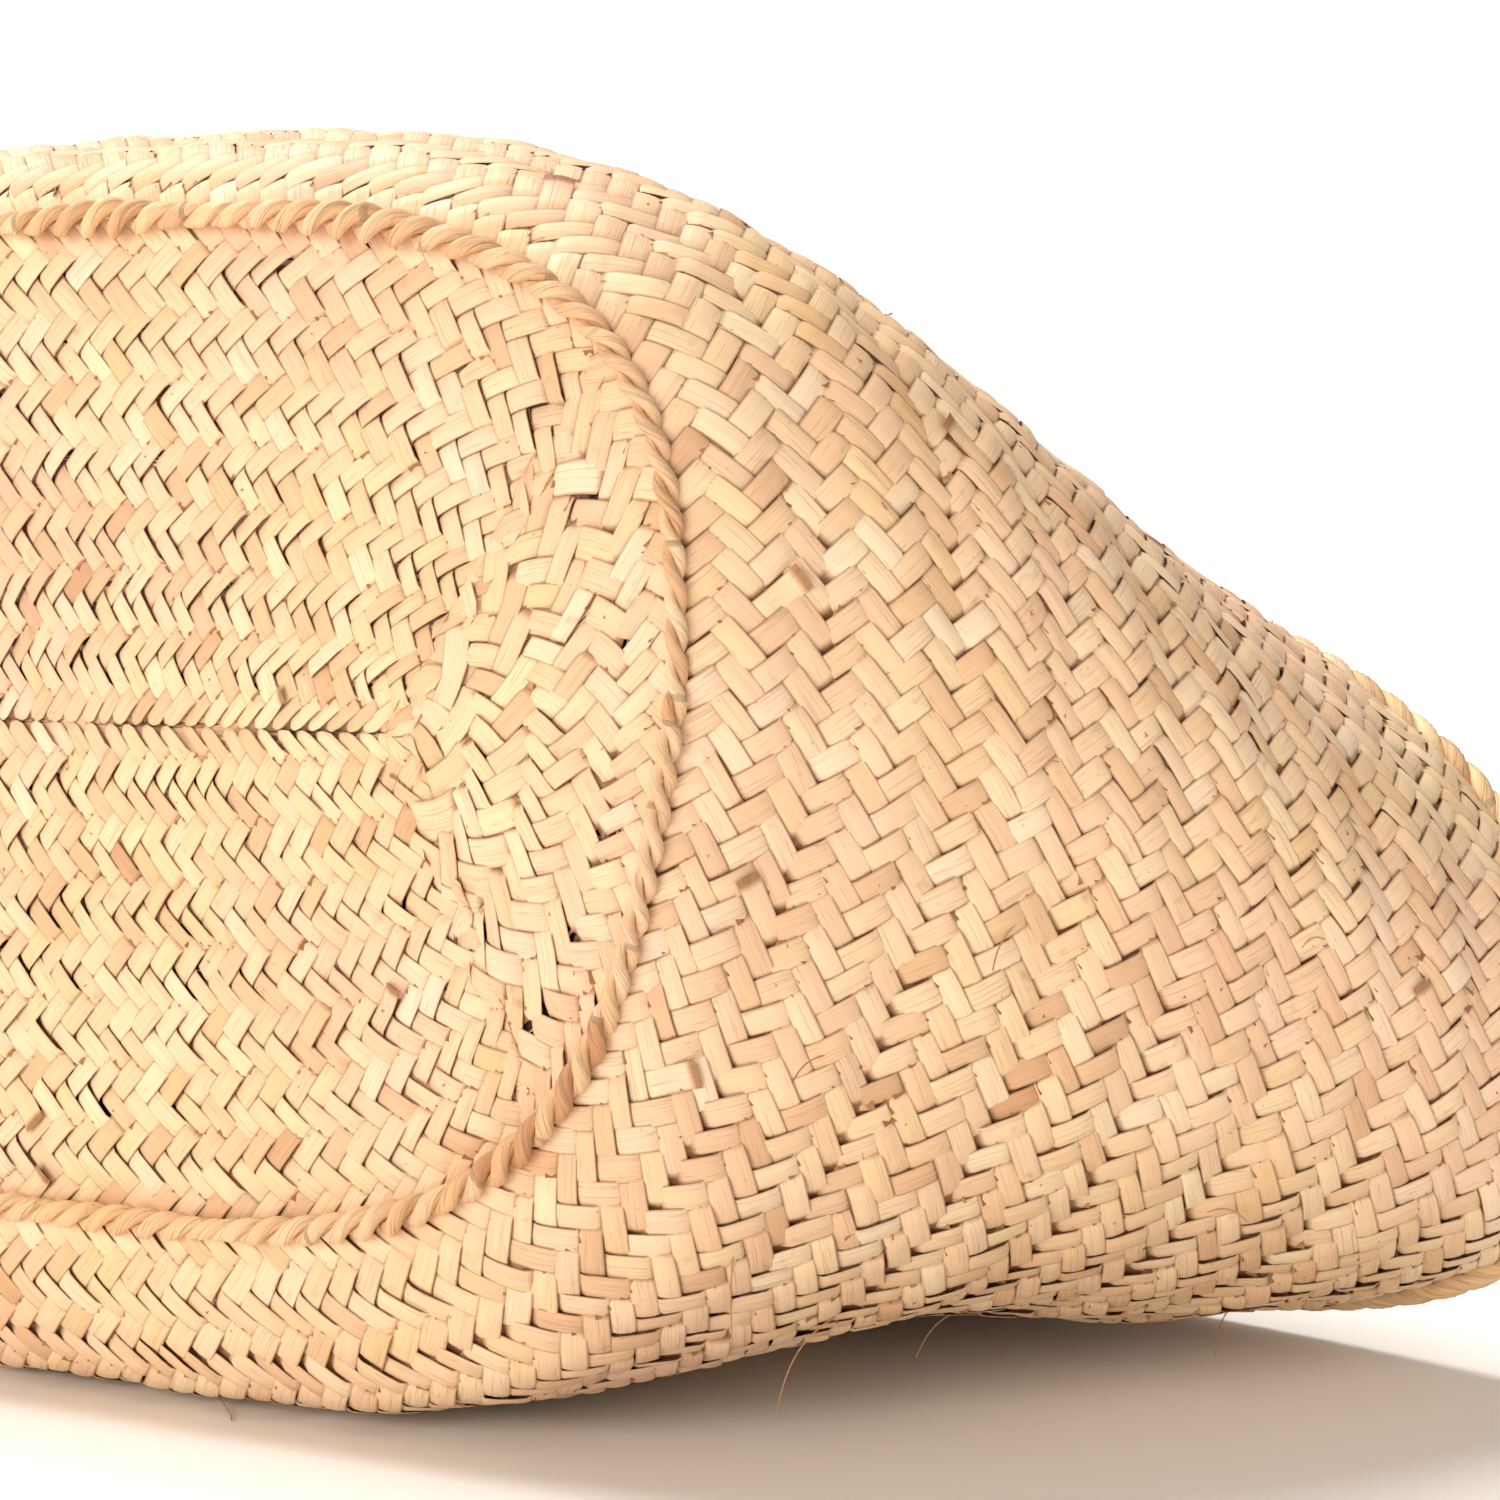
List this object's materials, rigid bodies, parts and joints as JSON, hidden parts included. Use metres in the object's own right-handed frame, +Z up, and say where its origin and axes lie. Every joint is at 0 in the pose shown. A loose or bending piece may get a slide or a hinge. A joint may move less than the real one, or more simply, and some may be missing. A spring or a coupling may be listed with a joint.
{
  "type": "woven palm market basket",
  "caption": "Oval market basket plaited from palm leaf, lying on its back panel, with a twisted edge cord, rope rim and two rope handles.",
  "frame": {"origin": "on the surface the basket lies on, under the middle of its bounding box, handles included", "axes": "X along the oval base and the mouth, +Y from the base towards the mouth, +Z up"},
  "size_m": [0.5566, 0.3412, 0.2658],
  "materials": {
    "palm_braid": "dry plaited palm leaf, matte with a faint waxy sheen",
    "palm_rope": "rope twisted from folded palm leaf, matte",
    "palm_cord": "thin twisted palm cord, matte"
  },
  "bodies": {
    "basket": {"base_braid_turn_2": "palm_braid", "base_braid_turn_3": "palm_braid", "base_braid_turn_4": "palm_braid", "base_core_braid": "palm_braid", "base_edge_cord": "palm_rope", "base_joining_cord_1": "palm_cord", "base_joining_cord_2": "palm_cord", "base_joining_cord_3": "palm_cord", "rim_rope": "palm_rope", "wall_braid_turn_1": "palm_braid", "wall_braid_turn_2": "palm_braid", "wall_braid_turn_3": "palm_braid", "wall_braid_turn_4": "palm_braid", "wall_braid_turn_5": "palm_braid", "wall_braid_turn_6": "palm_braid", "wall_braid_turn_7": "palm_braid", "wall_braid_turn_8": "palm_braid", "wall_joining_cord_1": "palm_cord", "wall_joining_cord_2": "palm_cord", "wall_joining_cord_3": "palm_cord", "wall_joining_cord_4": "palm_cord", "wall_joining_cord_5": "palm_cord", "wall_joining_cord_6": "palm_cord", "wall_joining_cord_7": "palm_cord"},
    "front_handle": {"front_handle": "palm_rope"},
    "back_handle": {"back_handle": "palm_rope"}
  },
  "joints": [
    {"name": "front_handle_swing", "type": "hinge", "parent": "basket", "child": "front_handle", "pos_m": [0, 0.03664, 0.18613], "axis": [1, 0, 0], "range_deg": [-25, 180]},
    {"name": "back_handle_swing", "type": "hinge", "parent": "basket", "child": "back_handle", "pos_m": [0, 0.03568, 0.01454], "axis": [1, 0, 0], "range_deg": [0, 60]}
  ]
}
